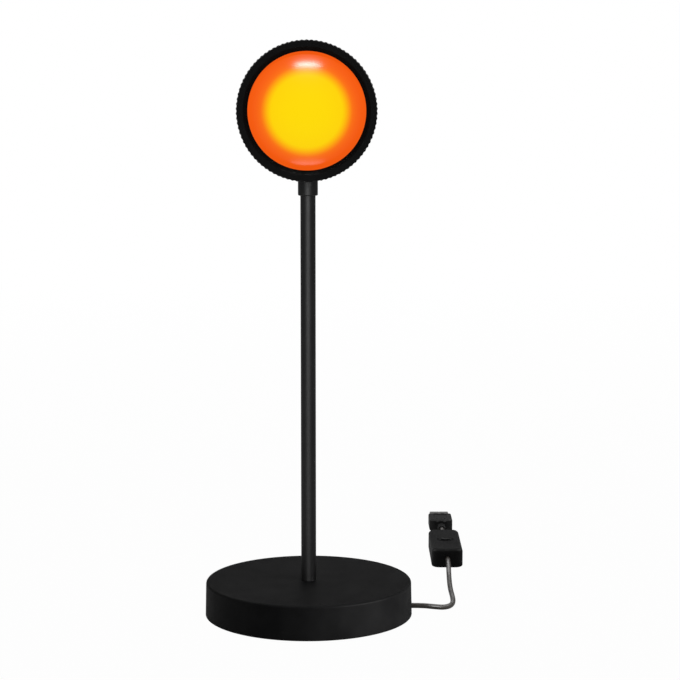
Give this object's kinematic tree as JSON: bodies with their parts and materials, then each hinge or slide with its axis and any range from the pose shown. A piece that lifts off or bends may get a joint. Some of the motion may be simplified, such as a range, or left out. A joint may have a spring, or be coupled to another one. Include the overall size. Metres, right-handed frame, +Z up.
{
  "type": "sunset projection lamp",
  "caption": "Small table lamp that throws a round warm glow: weighted disc base, thin pole, tilting round head with domed coloured lens in a ribbed ring, lead with press switch and plug.",
  "frame": {"origin": "middle of the base's underside, on the table", "axes": "+Z up along the pole, the lens faces -Y, the lead leaves the base towards +X"},
  "size_m": [0.1448, 0.2804, 0.307],
  "materials": {
    "base_satin_black": "satin moulded, fine grain",
    "weight_iron": "rough cast",
    "plate_black": "black coated sheet",
    "foot_foam": "closed-cell foam",
    "screw_steel": "zinc plated",
    "screw_black": "black oxide",
    "bush_rubber": "soft black",
    "clamp_nylon": "natural nylon",
    "pole_coat": "satin black coat on steel tube",
    "lead_pvc": "soft black PVC",
    "knuckle_metal": "black anodised, turned and milled",
    "washer_plastic": "PTFE",
    "head_metal": "black anodised, turned",
    "ring_metal": "black anodised, turned and ribbed",
    "lens_glass": "polished, yellow middle to orange edge",
    "filter_glass": "coated",
    "seal_silicone": "silicone",
    "board_white": "white lacquered board",
    "light_source": "yellow phosphor",
    "cup_black": "moulded",
    "switch_black": "satin moulded",
    "button_black": "smooth moulded",
    "latch_plastic": "moulded",
    "spring_wire": "bright wire",
    "plug_pvc": "soft moulded PVC",
    "plug_nickel": "nickel-plated sheet",
    "carrier_black": "moulded",
    "contact_gold": "gold-plated"
  },
  "bodies": {
    "base": {"base_cover": "base_satin_black", "ballast_disc": "weight_iron", "bottom_plate": "plate_black", "foot_pad": "foot_foam", "base_screws": "screw_steel", "cord_grommet": "bush_rubber", "cord_clamp": "clamp_nylon", "clamp_screws": "screw_steel", "pole_washer": "screw_steel", "pole_nut": "screw_steel", "pole_tube": "pole_coat", "inner_lead": "lead_pvc", "cord_lower": "lead_pvc", "cord_upper": "lead_pvc", "switch_top_shell": "switch_black", "switch_bottom_shell": "switch_black", "switch_screws": "screw_steel", "latch_block": "latch_plastic", "button_spring": "spring_wire", "plug_overmould": "plug_pvc", "plug_shell": "plug_nickel", "plug_carrier": "carrier_black", "plug_contacts": "contact_gold"},
    "swivel": {"swivel_collar": "knuckle_metal", "swivel_grub_screw": "screw_black", "friction_washers": "washer_plastic", "tilt_screw": "screw_black", "tilt_nut": "screw_black"},
    "head": {"tilt_tongue": "knuckle_metal", "tongue_nut": "screw_steel", "head_shell": "head_metal", "heat_sink": "head_metal", "rear_screws": "screw_steel", "led_board": "board_white", "board_screws": "screw_steel", "led_chip": "light_source", "light_cup": "cup_black", "colour_filter": "filter_glass", "head_lead": "lead_pvc"},
    "lens_cell": {"front_lens": "lens_glass", "lens_gasket": "seal_silicone"},
    "lens_ring": {"bezel_ring": "ring_metal", "lens_keeper": "ring_metal"},
    "button": {"switch_button": "button_black"}
  },
  "joints": [
    {"name": "head_swivel", "type": "hinge", "parent": "base", "child": "swivel", "pos_m": [0, 0, 0.226], "axis": [0, 0, 1], "range_deg": [-170, 170]},
    {"name": "head_tilt", "type": "hinge", "parent": "swivel", "child": "head", "pos_m": [0, 0, 0.2382], "axis": [1, 0, 0], "range_deg": [-75, 55]},
    {"name": "lens_advance", "type": "slide", "parent": "head", "child": "lens_cell", "axis": [0, -1, 0], "range_m": [0, 0.00151]},
    {"name": "lens_ring_turn", "type": "hinge", "parent": "lens_cell", "child": "lens_ring", "pos_m": [0, -0.034, 0.271], "axis": [0, -1, 0], "range_deg": [0, 360]},
    {"name": "button_press", "type": "slide", "parent": "base", "child": "button", "axis": [0, 0, -1], "range_m": [0, 0.0012], "stiffness_N_per_m": 1500, "deforming": ["button_spring"]}
  ],
  "couplings": [
    {"joint": "lens_advance", "follows": "lens_ring_turn", "m_per_rad": 0.00023873}
  ]
}
